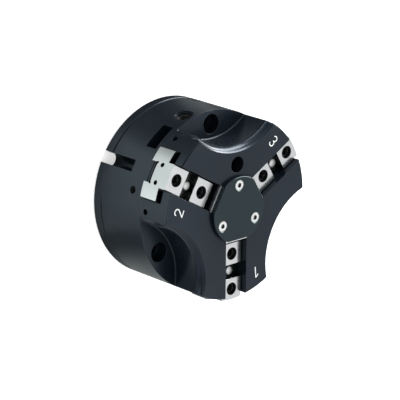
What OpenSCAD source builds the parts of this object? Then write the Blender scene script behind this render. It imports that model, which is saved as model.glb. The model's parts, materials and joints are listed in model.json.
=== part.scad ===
// Three jaw centric gripper, pneumatic, with a wedge hook drive.
// +Z is the gripper's axis, towards the jaws. The origin is the centre of the rear face.
// Arm 1 points along -Y, arm 2 along 150 degrees, arm 3 along 30 degrees.
// In the space of one arm, x runs out along the arm, y across it and z up.

/* [Body] */
// Outer diameter of the body
body_d = 100; // [90:0.5:112]
// Thickness of the rear cover
rear_cover_t = 6.5; // [6:0.25:8]
// Thickness of the shell round the cylinder bore
shell_t = 15; // [14:0.1:17]
// Chamfer on the outer edges of the body and the rear cover
edge_chamfer = 0.6; // [0.4:0.1:1]

/* [Drive] */
// Thickness of the piston disc
piston_t = 7; // [6.5:0.1:8]
// Air gap that is left above and below the piston at the ends of its stroke
end_gap = 0.5; // [0.4:0.1:1]
// Travel of each jaw inwards from the rest position, until its end is flush
jaw_in = 2; // [1.5:0.1:2.2]
// Travel of each jaw outwards from the rest position
jaw_out = 4; // [3:0.1:4.4]
// Jaw travel for each millimetre of piston travel
wedge_ratio = 0.5; // [0.48:0.01:0.54]
// Height of the jaw's hook
hook_h = 7; // [6:0.1:7.2]
// Width of the jaw's hook head
hook_w = 8.8; // [8:0.1:9]
// Thickness of the jaw's hook head, measured along the arm
hook_t = 2.6; // [2.2:0.1:2.7]
// Width of the neck that joins the hook head to the jaw
hook_neck_w = 5.6; // [5:0.1:6]
// Lip that stays outside the hook head at the lowest point of the hook slot
hook_lip = 2.15; // [2:0.05:2.3]
// Height of the jaw's underside below its hook
hook_lift = 3.45; // [3.3:0.05:3.6]

/* [Jaw slots] */
// Width of the slot in the front face
slot_w = 15; // [14.8:0.1:15.6]
// Thickness of the lips over the jaw's flanges
lip_t = 8.1; // [7.8:0.1:9]
// Distance by which the relief at the slot's outer mouth is wider than the flanges, on each side
mouth_side = 0.35; // [0.2:0.05:1]
// Height of the relief above the flange slot
mouth_h = 2.1; // [1:0.1:3]
// Depth of the relief, measured inwards from the body's outer edge
mouth_depth = 6; // [5:0.5:8]
// Width of the rib on the slot floor
rib_w = 10.8; // [9:0.1:11]
// Height of the rib on the slot floor
rib_h = 1.4; // [1:0.1:2]

/* [Jaws] */
// Width of the jaw's guide flange
flange_w = 28; // [27:0.1:28.2]
// Height of the jaw's guide flange
flange_h = 12; // [11.8:0.1:12.6]
// Height of the cleats above the flange
cleat_h = 4.65; // [4:0.05:6]
// Width of the cross groove that keys the finger
key_w = 8; // [7:0.1:8.4]
// Depth of the cross groove
key_depth = 4.3; // [3:0.1:4.4]
// Core diameter of the finger thread
thread_core_d = 5; // [4.8:0.1:5.4]
// Mouth diameter of the finger thread's chamfer
thread_mouth_d = 6.8; // [6.4:0.1:7.2]
// Depth of the finger thread
thread_depth = 10.5; // [9:0.1:11]
// Diameter of the locating pin in the cross groove
pin_d = 5; // [4.6:0.1:5.4]
// Diameter of the locating pin's shank, pressed into the jaw
pin_shank_d = 4; // [3:0.1:4.4]
// Height of the locating pin above the groove floor
pin_h = 2.9; // [2:0.1:3.5]
// Depth to which the locating pin is pressed into the jaw
pin_set = 6; // [5:0.1:7]
// Width of the channel along the jaw's underside
channel_w = 11.6; // [11.2:0.1:12.4]
// Height of the channel along the jaw's underside
channel_h = 4.65; // [4:0.05:5]
// Distance between the two small threads in the jaw's end
end_hole_pitch = 9.8; // [9:0.1:11]
// Core diameter of the small threads in the jaw's end
end_hole_d = 2.5; // [2.2:0.1:3]
// Height of the small threads above the jaw's underside
end_hole_z = 8.55; // [8:0.05:9.5]

/* [Front cover] */
// Distance by which each flat of the cover runs past the slot, on each side
cover_side = 0.8; // [0.1:0.1:1]
// Distance from the axis to each flat of the cover
cover_flat = 16.3; // [16:0.1:16.8]
// Thickness of the front cover
cover_t = 2.2; // [2:0.1:3]
// Radius of the circle of cover screws
cover_screw_circle = 13.6; // [13.2:0.1:14]
// Nominal diameter of the cover screws
cover_screw_d = 3; // [2.6:0.1:3.2]
// Head diameter of the cover screws
cover_head_d = 5.8; // [5.6:0.1:6.2]
// Depth of the cover screws' heads below the cover
cover_head_drop = 0.3; // [0.1:0.05:0.4]
// Thickness of the steel strip that closes each slot's inner end
strip_t = 1.1; // [0.8:0.05:1.2]
// Depth of the grooves that hold the strip's ears
strip_groove = 0.6; // [0.5:0.1:1]
// Depth of the ears below the front face, so that the strip can't come out upwards
strip_ear_drop = 1.5; // [1:0.1:3]

/* [Scallops and mounting holes] */
// Radius of each scallop
scallop_r = 38.7; // [38:0.1:41]
// Distance from the axis to the nearest point of each scallop
scallop_reach = 32.3; // [32:0.1:34]
// Depth of each scallop below the front face
scallop_depth = 20.7; // [18:0.1:21]
// Chamfer on the rim of each scallop
scallop_chamfer = 0.8; // [0.5:0.1:1]
// Distance of the mounting holes and dowel holes from the outer edge
mount_inset = 7.5; // [7:0.1:8]
// Diameter of the mounting holes
mount_hole_d = 6.6; // [6.4:0.1:7]
// Diameter of the counterbores over the mounting holes
mount_bore_d = 11; // [10.5:0.1:11.4]
// Depth of the counterbores
mount_bore_depth = 6.5; // [5:0.1:8]
// Wall between the locating hole in the front face and the scallop
front_hole_wall = 3.2; // [2.5:0.1:4]
// Diameter of the locating hole in the front face
front_hole_d = 9; // [8:0.1:9.2]
// Depth of the locating hole in the front face
front_hole_depth = 14; // [10:0.5:18]

/* [Rear side] */
// Diameter of the centring bore in the rear cover
centring_d = 20; // [18:0.5:24]
// Depth of the centring bore
centring_depth = 3; // [2:0.1:3.5]
// Diameter of the holes for the mounting dowels
dowel_d = 6; // [5:0.1:6.4]
// Depth of the holes for the mounting dowels
dowel_depth = 5; // [4:0.1:5.4]
// Distance of the rear cover screws from the outer edge
rear_screw_inset = 6.5; // [6:0.1:7]
// Angle between each rear cover screw and the nearest arm
rear_screw_angle = 24.5; // [24:0.5:27]
// Nominal diameter of the rear cover screws
rear_screw_d = 5; // [4.6:0.1:5.2]
// Head diameter of the rear cover screws
rear_head_d = 9.2; // [8.8:0.1:9.6]
// Length of the rear cover screws
rear_screw_len = 18; // [14:0.5:20]
// Diameter of the pins that locate the rear cover
cover_pin_d = 4; // [3:0.1:4.2]
// Depth to which each locating pin enters the cover and the body
cover_pin_set = 4; // [3:0.1:5]
// Width of the axial keyway below arm 2
keyway_w = 6.6; // [6:0.1:7]
// Diameter of the round bottom of the keyway
keyway_bottom_d = 8; // [7.4:0.1:8.4]
// Depth of the keyway
keyway_depth = 10; // [8:0.1:11]
// Length of the keyway from the rear face
keyway_len = 25.5; // [20:0.5:27]

/* [Air ports] */
// Core diameter of the two main ports
port_core_d = 8.6; // [8.2:0.1:8.8]
// Diameter of the spot face at the mouth of the main ports
port_mouth_d = 10.4; // [9.8:0.1:10.8]
// Depth of the spot face below the body's outermost point
port_face_depth = 0.8; // [0.5:0.1:1.2]
// Depth of the main ports
port_depth = 9; // [8:0.1:9.5]
// Angle between each main port and the scallop over it
port_angle = 15; // [14:0.5:17]
// Height of the closing port above the rear cover
close_port_lift = 6.2; // [6:0.1:7]
// Height of the opening port above the cylinder's ceiling
open_port_lift = 4.6; // [4.4:0.1:5.4]
// Core diameter of the purge port
purge_core_d = 4.2; // [3.8:0.1:4.6]
// Depth of the purge port
purge_depth = 8; // [6:0.1:10]
// Angle between the purge port and arm 2
purge_angle = 13.9; // [13:0.1:15]
// Height of the purge port above the cylinder's ceiling
purge_lift = 3.8; // [3.6:0.1:5]
// Diameter of the air channels
channel_d = 2.6; // [2:0.1:3]
// Distance of the direct ports in the rear face from the outer edge
direct_inset = 6; // [5.6:0.1:6.4]
// Thread diameter of the screws that close the direct ports
direct_screw_d = 5; // [4.6:0.1:5]
// Length of the screws that close the direct ports
direct_screw_len = 4; // [3.5:0.1:4.4]

/* [Side threads and sensor pocket] */
// Core diameter of the side threads
side_thread_d = 3.3; // [3:0.1:3.4]
// Depth of the side threads
side_thread_depth = 6; // [5:0.1:7]
// Angle between each side thread and the nearest arm
side_thread_angle = 24.5; // [24.3:0.1:25]
// Height of the side threads above the slot floor
side_thread_lift = 3.5; // [3:0.1:6]
// Length of the sensor pocket across the body
pocket_len = 15.6; // [14:0.1:17]
// Height of the sensor pocket
pocket_h = 7.7; // [7:0.1:8]
// Depth of the sensor pocket at its middle
pocket_depth = 7; // [5:0.1:7.5]
// Height of the sensor pocket above the cylinder's ceiling
pocket_lift = 0.6; // [0.2:0.1:1]
// Angle between the middle of the sensor pocket and arm 2
pocket_angle = 23; // [22:0.5:24]

/* [Seals] */
// Radial depth of the piston's ring grooves
ring_depth = 3; // [2.5:0.1:3.5]
// Height of the piston seal
seal_h = 2.6; // [2.2:0.1:2.8]
// Height of the piston's guide ring
guide_h = 1.8; // [1.5:0.1:2]
// Height of the rod seal
rod_seal_h = 2.2; // [1.8:0.1:2.3]
// Radial depth of the rod seal
rod_seal_t = 2.8; // [2.4:0.1:3.2]
// Section width of the O-rings
oring_w = 2; // [1.6:0.1:2]
// Height to which the O-rings are squeezed
oring_h = 1.5; // [1.3:0.1:1.6]
// Wall between the cylinder bore and the rear cover's O-ring
oring_wall = 1.2; // [1:0.1:1.6]

/* [Fits] */
// Gap on every sliding face of the jaws and the wedge hooks
slide_gap = 0.05; // [0.03:0.01:0.08]
// Radial running gap of the rod, the seals and the guide ring
running_gap = 0.04; // [0.02:0.01:0.06]
// Radial gap between the piston disc and the cylinder bore
piston_gap = 0.15; // [0.1:0.01:0.25]
// Gap between parts that pass each other without touching
free_gap = 0.3; // [0.25:0.05:0.4]
// Gap on each side of the cleats in the slot of the front face
cleat_gap = 0.4; // [0.2:0.05:0.6]
// Radial gap of a screw in its clearance hole
screw_gap = 0.25; // [0.15:0.05:0.3]

/* [Hidden] */
$fn = 96;
ARMS = [1, 2, 3];

EPS = 0.01;      // overlap of cutters with the faces that they open
OVER = 1;        // length by which a cutter runs past a face
BESIDE = 60;     // angle between an arm and the scallops beside it

body_r = body_d / 2;
bore_r = body_r - shell_t;

// Travel of the piston from rest, derived from the travel of the jaws
piston_down = jaw_in / wedge_ratio;
piston_up = jaw_out / wedge_ratio;
stroke = piston_down + piston_up;

// Heights of the cylinder, stacked from the rear face
piston_z = rear_cover_t + end_gap + piston_down;
piston_top_z = piston_z + piston_t;
ceiling_z = piston_top_z + piston_up + end_gap;

// Heights of the rod seal and of the slots over it. The rod's plain part never leaves the seal.
seal_land = 1;
rod_seal_z = ceiling_z + seal_land;
rod_top_z = rod_seal_z + rod_seal_h + free_gap + piston_down;
hook_z = rod_top_z + piston_up + free_gap;
hook_top_z = hook_z + hook_h;
jaw_z = hook_z - hook_lift;
slot_floor_z = jaw_z - slide_gap;
lip_z = slot_floor_z + flange_h + 2 * slide_gap;
front_z = lip_z + lip_t;
hub_top_z = front_z - piston_up - free_gap;
scallop_floor_z = front_z - scallop_depth;

// Places of the hooks, from the axis outwards. The hooks' tips clear each other when closed.
hook_tip_x = (hook_w / 2 + 2 * free_gap) / tan(BESIDE) + jaw_in;
hook_face_x = hook_tip_x + hook_t;
rod_r = hook_face_x + wedge_ratio * (hook_top_z - rod_top_z) + hook_lip;
wing_w = slot_w - 2 * free_gap;

// Places along the jaw
flange_x = rod_r + free_gap;
strip_x = cover_flat + free_gap;
cleat_x = strip_x + strip_t + jaw_in + free_gap;
jaw_end_x = body_r + jaw_in;
cleat_len = (jaw_end_x - cleat_x - key_w) / 2;
cleat_w = slot_w - 2 * cleat_gap;
key_x = cleat_x + cleat_len;
pin_x = key_x + key_w / 2;
thread_pitch = cleat_len + key_w;
jaw_top_z = jaw_z + flange_h + cleat_h;
key_z = jaw_top_z - key_depth;
jaw_edge = 0.3;          // chamfer on the jaw's long edges
relief_r = 0.7;          // round relief in the channel's corners
relief_in = 0.2;         // distance of the relief's centre from both faces of the corner
end_hole_depth = 6;      // depth of the small threads in the jaw's end

// Places in the body and the rear cover
cover_r = norm([cover_flat, slot_w / 2 + cover_side]);
mouth_w = flange_w + 2 * slide_gap + 2 * mouth_side;
rib_start = 7;           // distance from the rod to the inner end of the rib
rib_x = rod_r + rib_start;
rib_end_x = body_r - free_gap;
front_hole_reach = scallop_reach - front_hole_wall - front_hole_d / 2;
mount_circle = body_r - mount_inset;
rear_screw_circle = body_r - rear_screw_inset;
direct_circle = body_r - direct_inset;
keyway_x = body_r - keyway_depth + keyway_bottom_d / 2;
cover_pin_turn = 9;      // turn of the cover pins from the dowel holes
rear_oring_r = bore_r + oring_wall + oring_w / 2;
port_end = body_r - port_depth;
duct_inset = 3;          // distance of the ceiling's duct from the cylinder bore
duct_x = bore_r - duct_inset;
purge_start = 12.7;      // distance from the rod to the duct through the slot floor
purge_x = rod_r + purge_start;

// Screw and seal details
spigot_r = 11;           // spigot that centres the wedge hook in the piston disc
spigot_h = 1;
piston_screw_d = 8;
piston_screw_len = 20;
piston_head_d = 16;
piston_socket = 5;       // width of the hexagon sockets across their flats
cover_socket = 2.5;
rear_socket = 3;
direct_socket = 2.5;
direct_socket_depth = 1.8;
socket_share = 0.75;     // depth of a countersunk screw's socket, as a share of its head
cover_screw_len = 8;
screw_end_gap = 0.5;     // depth of the cover screws' threads past their tips
cover_thread_z = front_z + cover_t - cover_head_drop - cover_screw_len - screw_end_gap;
piston_oring_r = 14.2;
direct_oring_r = 3.6;
oring_corner = 0.35;     // chamfer that stands for the O-ring's round sides
lip_share = 0.3;         // a seal's lips and the height of the groove between them, as a share
cover_edge = 0.2;        // chamfer on the front cover's upper edge
pin_dome = 0.8;          // height of the locating pin's dome
recess = 0.3;            // depth of the direct port screws below the rear face

close_port_z = rear_cover_t + close_port_lift;
open_port_z = ceiling_z + open_port_lift;
purge_z = ceiling_z + purge_lift;

// Piston disc, its ring grooves, and the lands that share what the rings leave free
piston_r = bore_r - piston_gap;
land_h = (piston_t - seal_h - guide_h) / 3;
land_edge = 0.6 * land_h;
guide_z = piston_z + land_h;
seal_z = guide_z + guide_h + land_h;

// Turns of the arms and of the scallops, which lie opposite the arms
function arm_turn(i) = -90 - 120 * (i - 1);
function scallop_turn(i) = arm_turn(i) + 180;
close_port_turn = scallop_turn(1) - port_angle;
open_port_turn = scallop_turn(1) + port_angle;

// Distance from the axis to the sloping hook face, at rest
function hook_x(z) = hook_face_x + wedge_ratio * (hook_top_z - z);

// Diameter across the corners of a hexagon, from its width across the flats
function hex_d(flats) = flats / cos(30);

// ---------- helpers ----------

module at_arm(i) {
    rotate(arm_turn(i)) children();
}

module at_scallop(i) {
    rotate(scallop_turn(i)) children();
}

// Ring with a rectangular section
module ring(r_in, r_out, z, h) {
    translate([0, 0, z])
        difference() {
            cylinder(r = r_out, h = h);
            translate([0, 0, -OVER]) cylinder(r = r_in, h = h + 2 * OVER);
        }
}

// Disc with chamfers on its lower and upper outer edges
module chamfered_disc(r, z0, z1, c0, c1) {
    rotate_extrude()
        polygon([
            [0, z0], [r - c0, z0], [r, z0 + c0],
            [r, z1 - c1], [r - c1, z1], [0, z1]
        ]);
}

// O-ring squeezed into its groove, standing on z = 0
module squeezed_oring(r) {
    rotate_extrude()
        translate([r, 0])
            polygon([
                [-oring_w / 2 + oring_corner, 0], [oring_w / 2 - oring_corner, 0],
                [oring_w / 2, oring_corner], [oring_w / 2, oring_h - oring_corner],
                [oring_w / 2 - oring_corner, oring_h], [-oring_w / 2 + oring_corner, oring_h],
                [-oring_w / 2, oring_h - oring_corner], [-oring_w / 2, oring_corner]
            ]);
}

// Groove that an O-ring fills, opening upwards at z = 0
module oring_groove(r) {
    ring(r - oring_w / 2, r + oring_w / 2, -oring_h, oring_h + EPS);
}

// Countersunk screw, its head's flat at z = 0, its shank running up along +Z
module countersunk_screw(d, head_d, len, socket) {
    head_h = (head_d - d) / 2;
    difference() {
        union() {
            cylinder(d1 = head_d, d2 = d, h = head_h);
            translate([0, 0, head_h - EPS]) cylinder(d = d, h = len - head_h + EPS);
        }
        translate([0, 0, -OVER])
            cylinder(d = hex_d(socket), h = OVER + head_h * socket_share, $fn = 6);
    }
}

// Countersink and clearance hole for the screw above
module countersunk_hole(d, head_d, depth) {
    head_h = (head_d - d) / 2;
    cylinder(d1 = head_d, d2 = d, h = head_h);
    translate([0, 0, -OVER]) cylinder(d = head_d, h = OVER + EPS);
    translate([0, 0, -OVER]) cylinder(d = d + 2 * screw_gap, h = depth + 2 * OVER);
}

// Hole drilled inwards from the body's outer face
module side_hole(turn, z, d, depth) {
    rotate(turn)
        translate([body_r - depth, 0, z])
            rotate([0, 90, 0]) cylinder(d = d, h = depth + OVER);
}

// Main air port: thread core and spot face for the fitting's seal
module main_port(turn, z) {
    side_hole(turn, z, port_core_d, port_depth);
    side_hole(turn, z, port_mouth_d, port_face_depth);
}

// Slab between two slopes that follow the hook face, from z0 to z1, w wide
module slope_slab(x_in, x_out, z0, z1, w) {
    rotate([90, 0, 0])
        linear_extrude(w, center = true)
            polygon([
                [hook_x(z0) + x_in, z0], [hook_x(z0) + x_out, z0],
                [hook_x(z1) + x_out, z1], [hook_x(z1) + x_in, z1]
            ]);
}

// Box that starts at x0 and is centred on the arm
module arm_box(x0, x1, w, z0, z1) {
    translate([x0, -w / 2, z0]) cube([x1 - x0, w, z1 - z0]);
}

// Places of the rear cover screws
module at_rear_screws() {
    for (i = ARMS, side = [-1, 1])
        rotate(arm_turn(i) + side * rear_screw_angle)
            translate([rear_screw_circle, 0, 0]) children();
}

// Places of the pins that locate the rear cover, beside the dowel holes of arms 1 and 3
module at_cover_pins() {
    for (i = [1, 3])
        rotate(arm_turn(i) + cover_pin_turn)
            translate([rear_screw_circle, 0, 0]) children();
}

// Places of the direct ports in the rear face
module at_direct_ports() {
    for (turn = [close_port_turn, open_port_turn])
        rotate(turn) translate([direct_circle, 0, 0]) children();
}

// Keyway below arm 2, cut through the body and the rear cover
module keyway(z0, z1) {
    at_arm(2) {
        arm_box(keyway_x, body_r + OVER, keyway_w, z0, z1);
        translate([keyway_x, 0, z0]) cylinder(d = keyway_bottom_d, h = z1 - z0);
    }
}

// Through holes for the mounting screws
module mount_holes(z0, z1) {
    for (i = ARMS)
        at_scallop(i)
            translate([mount_circle, 0, z0]) cylinder(d = mount_hole_d, h = z1 - z0);
}

// ---------- housing and guide blocks ----------

// Plan of the arms' slots, of one width, from x0 to past the outer face
module slot_plan(w, x0) {
    for (i = ARMS) at_arm(i) translate([x0, -w / 2]) square([body_r + OVER - x0, w]);
}

// T-shaped slots of the arms, with the hollow for the wedge hook where they meet
module jaw_slots() {
    mouth_x = body_r - mouth_depth;
    translate([0, 0, slot_floor_z - OVER])
        linear_extrude(OVER + lip_z - slot_floor_z) {
            slot_plan(flange_w + 2 * slide_gap, 0);
            slot_plan(mouth_w, mouth_x);
            circle(r = rod_r + free_gap);
        }
    translate([0, 0, lip_z - OVER]) {
        linear_extrude(OVER + mouth_h) slot_plan(mouth_w, mouth_x);
        linear_extrude(OVER + lip_t + OVER) slot_plan(slot_w, 0);
    }
}

// Grooves for the ears of the steel strip at the slot's inner end
module strip_pocket() {
    arm_box(strip_x, strip_x + strip_t, slot_w + 2 * strip_groove,
            lip_z - OVER, front_z - strip_ear_drop);
}

// Rib on the slot floor, in the jaw's channel
module slot_rib() {
    intersection() {
        arm_box(rib_x, body_r, rib_w, slot_floor_z - OVER, slot_floor_z + rib_h);
        cylinder(r = rib_end_x, h = front_z);
    }
}

// Scallop with a chamfered rim and a counterbored mounting hole in its floor
module scallop() {
    translate([scallop_reach + scallop_r, 0, 0]) {
        translate([0, 0, scallop_floor_z]) cylinder(r = scallop_r, h = scallop_depth + OVER);
        translate([0, 0, front_z - scallop_chamfer])
            cylinder(r1 = scallop_r, r2 = scallop_r + 2 * scallop_chamfer, h = 2 * scallop_chamfer);
    }
    translate([mount_circle, 0, scallop_floor_z - mount_bore_depth])
        cylinder(d = mount_bore_d, h = mount_bore_depth + OVER);
}

// Pocket for a proximity switch, milled across the body beside arm 2
module sensor_pocket() {
    rotate(arm_turn(2) - pocket_angle)
        arm_box(body_r - pocket_depth, body_r + OVER, pocket_len,
                ceiling_z + pocket_lift, ceiling_z + pocket_lift + pocket_h);
}

// Channels from the main ports into the two ends of the cylinder, and from the purge port
module air_channels() {
    // closing port: sloping channel to the cylinder's lower corner
    start_x = port_end + OVER;
    drop = close_port_lift - channel_d;
    run = start_x - bore_r;
    rotate(close_port_turn)
        translate([start_x, 0, close_port_z])
            rotate([0, -90 - atan2(drop, run), 0])
                cylinder(d = channel_d, h = norm([drop, run]) + OVER);
    // opening port: channel inwards, then down through the cylinder's ceiling
    rotate(open_port_turn) {
        translate([duct_x, 0, open_port_z])
            rotate([0, 90, 0]) cylinder(d = channel_d, h = start_x - duct_x);
        translate([duct_x, 0, ceiling_z - OVER])
            cylinder(d = channel_d, h = open_port_lift + OVER);
    }
    // purge port: channel inwards, then up through the slot floor
    rotate(arm_turn(2) + purge_angle)
        translate([purge_x, 0, purge_z]) {
            rotate([0, 90, 0])
                cylinder(d = channel_d, h = body_r - purge_depth + OVER - purge_x);
            cylinder(d = channel_d, h = slot_floor_z - purge_z + OVER);
        }
    // direct ports: channels from the rear face up to the main ports
    for (port = [[close_port_turn, close_port_z], [open_port_turn, open_port_z]])
        rotate(port[0])
            translate([direct_circle, 0, rear_cover_t - OVER])
                cylinder(d = channel_d, h = port[1] - rear_cover_t + OVER);
}

// Base of the body, up to the slot floor
module housing() {
    color("#3d454d")
        difference() {
            union() {
                chamfered_disc(body_r, rear_cover_t, slot_floor_z, edge_chamfer, 0);
                for (i = ARMS) at_arm(i) slot_rib();
            }
            // cylinder, rod bore and rod seal groove
            translate([0, 0, rear_cover_t - OVER])
                cylinder(r = bore_r, h = ceiling_z - rear_cover_t + OVER);
            translate([0, 0, ceiling_z - OVER])
                cylinder(r = rod_r + running_gap, h = slot_floor_z - ceiling_z + 2 * OVER);
            translate([0, 0, rod_seal_z]) cylinder(r = rod_r + rod_seal_t, h = rod_seal_h);
            // scallop floors and mounting holes
            for (i = ARMS) at_scallop(i) scallop();
            mount_holes(rear_cover_t - OVER, scallop_floor_z);
            // threads and pin holes for the rear cover
            at_rear_screws()
                translate([0, 0, rear_cover_t - OVER])
                    cylinder(d = rear_screw_d, h = rear_screw_len - rear_cover_t + 2 * OVER);
            at_cover_pins()
                translate([0, 0, rear_cover_t - OVER])
                    cylinder(d = cover_pin_d, h = cover_pin_set + OVER);
            keyway(rear_cover_t - OVER, keyway_len);
            // ports and side holes
            main_port(close_port_turn, close_port_z);
            main_port(open_port_turn, open_port_z);
            side_hole(arm_turn(2) + purge_angle, purge_z, purge_core_d, purge_depth);
            air_channels();
            sensor_pocket();
        }
}

// Sector between two arms, from the axis to past the outer face
module block_sector() {
    reach = body_r + OVER;
    translate([0, 0, slot_floor_z - OVER])
        linear_extrude(front_z - slot_floor_z + 2 * OVER)
            polygon([[0, 0], [reach, -reach * tan(BESIDE)], [reach, reach * tan(BESIDE)]]);
}

// Block that stands on the base below scallop i, with one side of each slot beside it
module guide_block(i) {
    color("#3d454d")
        difference() {
            intersection() {
                chamfered_disc(body_r, slot_floor_z, front_z, 0, edge_chamfer);
                at_scallop(i) block_sector();
            }
            jaw_slots();
            at_scallop(i) {
                scallop();
                // thread for the front cover screw
                translate([cover_screw_circle, 0, cover_thread_z])
                    cylinder(d = cover_screw_d, h = front_z + OVER - cover_thread_z);
            }
            for (side = [-1, 1]) {
                rotate(scallop_turn(i) + side * BESIDE) strip_pocket();
                side_hole(scallop_turn(i) + side * (BESIDE - side_thread_angle),
                          slot_floor_z + side_thread_lift, side_thread_d, side_thread_depth);
            }
            if (i == 1)
                at_scallop(i)
                    translate([front_hole_reach, 0, front_z - front_hole_depth])
                        cylinder(d = front_hole_d, h = front_hole_depth + OVER);
        }
}

// ---------- rear cover ----------

module rear_cover() {
    color("#42484e")
        difference() {
            chamfered_disc(body_r, 0, rear_cover_t, edge_chamfer, edge_chamfer);
            translate([0, 0, -OVER]) cylinder(d = centring_d, h = centring_depth + OVER);
            mount_holes(-OVER, rear_cover_t + OVER);
            for (i = [1, 3])
                at_arm(i)
                    translate([mount_circle, 0, -OVER])
                        cylinder(d = dowel_d, h = dowel_depth + OVER);
            at_rear_screws() countersunk_hole(rear_screw_d, rear_head_d, rear_cover_t);
            at_cover_pins()
                translate([0, 0, rear_cover_t - cover_pin_set])
                    cylinder(d = cover_pin_d, h = cover_pin_set + OVER);
            keyway(-OVER, rear_cover_t + OVER);
            translate([0, 0, rear_cover_t]) oring_groove(rear_oring_r);
            at_direct_ports() {
                translate([0, 0, -OVER])
                    cylinder(d = direct_screw_d, h = direct_screw_len + recess + OVER);
                cylinder(d = channel_d, h = rear_cover_t + OVER);
                translate([0, 0, rear_cover_t]) oring_groove(direct_oring_r);
            }
        }
}

module rear_cover_screws() {
    color("#8f9498")
        at_rear_screws()
            countersunk_screw(rear_screw_d, rear_head_d, rear_screw_len, rear_socket);
}

module rear_cover_pins() {
    color("#b8bcc0")
        at_cover_pins()
            translate([0, 0, rear_cover_t - cover_pin_set])
                cylinder(d = cover_pin_d, h = 2 * cover_pin_set);
}

module rear_cover_oring() {
    color("#1c1c1e")
        translate([0, 0, rear_cover_t - oring_h]) squeezed_oring(rear_oring_r);
}

module direct_port_screws() {
    color("#8f9498")
        at_direct_ports()
            translate([0, 0, recess])
                difference() {
                    cylinder(d = direct_screw_d, h = direct_screw_len);
                    translate([0, 0, -OVER])
                        cylinder(d = hex_d(direct_socket), h = direct_socket_depth + OVER, $fn = 6);
                }
}

module direct_port_orings() {
    color("#1c1c1e")
        at_direct_ports()
            translate([0, 0, rear_cover_t - oring_h]) squeezed_oring(direct_oring_r);
}

// ---------- piston and wedge hooks ----------

module piston_disc() {
    color("#a9adb1")
        difference() {
            chamfered_disc(piston_r, piston_z, piston_top_z, land_edge, land_edge);
            ring(piston_r - ring_depth, piston_r + OVER, guide_z, guide_h);
            ring(piston_r - ring_depth, piston_r + OVER, seal_z, seal_h);
            translate([0, 0, piston_top_z - spigot_h]) cylinder(r = spigot_r, h = spigot_h + OVER);
            translate([0, 0, piston_z]) countersunk_hole(piston_screw_d, piston_head_d, piston_t);
        }
}

module piston_guide_ring() {
    color("#c9b28a")
        ring(piston_r - ring_depth, bore_r - running_gap, guide_z, guide_h);
}

// Lip seal with a groove in each side
module piston_seal() {
    color("#2a2c2e")
        difference() {
            ring(piston_r - ring_depth, bore_r - running_gap, seal_z, seal_h);
            for (z = [seal_z - EPS, seal_z + seal_h * (1 - lip_share)])
                ring(piston_r - ring_depth * (1 - lip_share), piston_r - ring_depth * lip_share,
                     z, seal_h * lip_share + EPS);
        }
}

module piston_oring() {
    color("#1c1c1e")
        translate([0, 0, piston_top_z]) squeezed_oring(piston_oring_r);
}

module piston_screw() {
    color("#8f9498")
        translate([0, 0, piston_z])
            countersunk_screw(piston_screw_d, piston_head_d, piston_screw_len, piston_socket);
}

// Wing that carries one hook slot, its outer face parallel to the slope
module wedge_wing() {
    rotate([90, 0, 0])
        linear_extrude(wing_w, center = true)
            polygon([
                [0, rod_top_z - EPS], [hook_x(rod_top_z) + hook_lip, rod_top_z - EPS],
                [hook_x(hub_top_z) + hook_lip, hub_top_z], [0, hub_top_z]
            ]);
}

// Sloping T-shaped slot that holds one jaw's hook
module hook_slot() {
    slope_slab(-hook_t - slide_gap, slide_gap, rod_top_z, hub_top_z + OVER, hook_w + 2 * slide_gap);
    slope_slab(0, rod_r, rod_top_z, hub_top_z + OVER, hook_neck_w + 2 * slide_gap);
}

module wedge_hook() {
    color("#b9bdc1")
        difference() {
            union() {
                translate([0, 0, piston_top_z]) cylinder(r = rod_r, h = rod_top_z - piston_top_z);
                translate([0, 0, piston_top_z - spigot_h]) cylinder(r = spigot_r, h = spigot_h + EPS);
                intersection() {
                    translate([0, 0, rod_top_z - EPS])
                        cylinder(r = rod_r, h = hub_top_z - rod_top_z + EPS);
                    union() for (i = ARMS) at_arm(i) wedge_wing();
                }
            }
            for (i = ARMS) at_arm(i) hook_slot();
            translate([0, 0, piston_top_z - spigot_h - OVER])
                cylinder(d = piston_screw_d, h = piston_screw_len - piston_t + spigot_h + 2 * OVER);
            ring(piston_oring_r - oring_w / 2, piston_oring_r + oring_w / 2,
                 piston_top_z - EPS, oring_h + EPS);
        }
}

module rod_seal() {
    color("#2a2c2e")
        difference() {
            ring(rod_r + running_gap, rod_r + rod_seal_t, rod_seal_z, rod_seal_h);
            ring(rod_r + rod_seal_t * lip_share, rod_r + rod_seal_t * (1 - lip_share),
                 rod_seal_z - EPS, rod_seal_h * lip_share + EPS);
        }
}

// ---------- front cover ----------

module front_cover() {
    color("#3a4044")
        difference() {
            intersection() {
                chamfered_disc(cover_r, front_z, front_z + cover_t, 0, cover_edge);
                cover_flats();
            }
            for (i = ARMS)
                at_scallop(i)
                    translate([cover_screw_circle, 0, front_z + cover_t])
                        mirror([0, 0, 1])
                            countersunk_hole(cover_screw_d, cover_head_d + 2 * cover_head_drop, cover_t);
        }
}

// Triangular prism whose three sides are the cover's flats, so its corners are twice as far out
module cover_flats() {
    translate([0, 0, front_z - OVER])
        rotate(arm_turn(1) + BESIDE)
            cylinder(r = 2 * cover_flat, h = cover_t + 2 * OVER, $fn = 3);
}

module front_cover_screws() {
    color("#d6dadd")
        for (i = ARMS)
            at_scallop(i)
                translate([cover_screw_circle, 0, front_z + cover_t - cover_head_drop])
                    mirror([0, 0, 1])
                        countersunk_screw(cover_screw_d, cover_head_d, cover_screw_len, cover_socket);
}

module slot_strip() {
    color("#cfd4d8") {
        arm_box(strip_x, strip_x + strip_t, slot_w, lip_z, front_z);
        arm_box(strip_x, strip_x + strip_t, slot_w + 2 * strip_groove,
                lip_z, front_z - strip_ear_drop);
    }
}

// ---------- jaws ----------

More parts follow.
